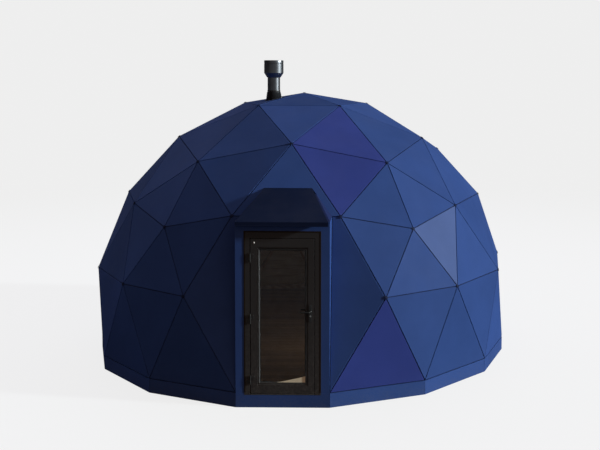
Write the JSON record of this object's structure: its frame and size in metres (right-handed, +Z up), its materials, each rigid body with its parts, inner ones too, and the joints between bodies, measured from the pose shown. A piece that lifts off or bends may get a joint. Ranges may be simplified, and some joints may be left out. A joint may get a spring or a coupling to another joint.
{
  "type": "geodesic dome house",
  "caption": "Round house of flat triangular panels on a strut frame, with a hinged glazed door in a hooded porch, a timber floor and a roof flue.",
  "frame": {"origin": "on the ground under the middle of the dome", "axes": "+Z up, the door faces -Y, +X to the right of somebody who faces the door"},
  "size_m": [6.1596, 6.2363, 4.408],
  "materials": {
    "panel": "satin",
    "riser": "satin",
    "hood": "satin",
    "timber": "planed",
    "deck": "oiled",
    "hub_steel": "galvanised",
    "bolt": "satin",
    "door_frame": "satin",
    "glass": "clear",
    "fitting": "satin",
    "hinge": "satin",
    "flue": "gloss"
  },
  "bodies": {
    "house": {"floor_joists": "timber", "floor_deck": "deck", "riser_front": "riser", "riser_right": "riser", "riser_left": "riser", "sole_plates": "timber", "base_shoes": "hub_steel", "frame_hubs": "hub_steel", "crown_struts": "timber", "shoulder_struts": "timber", "waist_struts": "timber", "skirt_struts": "timber", "hub_bolts": "bolt", "cap_panels": "panel", "flue_panel": "panel", "crown_panels": "panel", "shoulder_panels_right": "panel", "shoulder_panels_left": "panel", "waist_panels_right": "panel", "waist_panels_left": "panel", "skirt_panels_right": "panel", "skirt_panels_left": "panel", "over_door_panel": "panel", "porch_posts": "timber", "porch_jambs": "timber", "porch_header": "timber", "porch_side_panels": "panel", "porch_cheeks": "panel", "hood_roof": "hood", "hood_cheeks": "panel", "front_wall_left": "panel", "front_wall_right": "panel", "front_wall_head": "panel", "door_frame": "door_frame", "hinge_pins": "hinge", "flue_boot": "flue", "flue_pipe": "flue", "flue_cowl": "flue"},
    "door": {"door_leaf": "door_frame", "door_glass": "glass", "glazing_beads": "door_frame", "handle_plates": "fitting", "hinge_knuckles": "hinge"},
    "lever": {"door_lever": "fitting"}
  },
  "joints": [
    {"name": "door_swing", "type": "hinge", "parent": "house", "child": "door", "pos_m": [-0.4055, -3.04986, 1], "axis": [0, 0, 1], "range_deg": [-100, 0]},
    {"name": "lever_turn", "type": "hinge", "parent": "door", "child": "lever", "pos_m": [0.3515, -3, 1.235], "axis": [0, -1, 0], "range_deg": [0, 35], "stiffness_Nm_per_rad": 2, "springref_deg": -28.65}
  ]
}
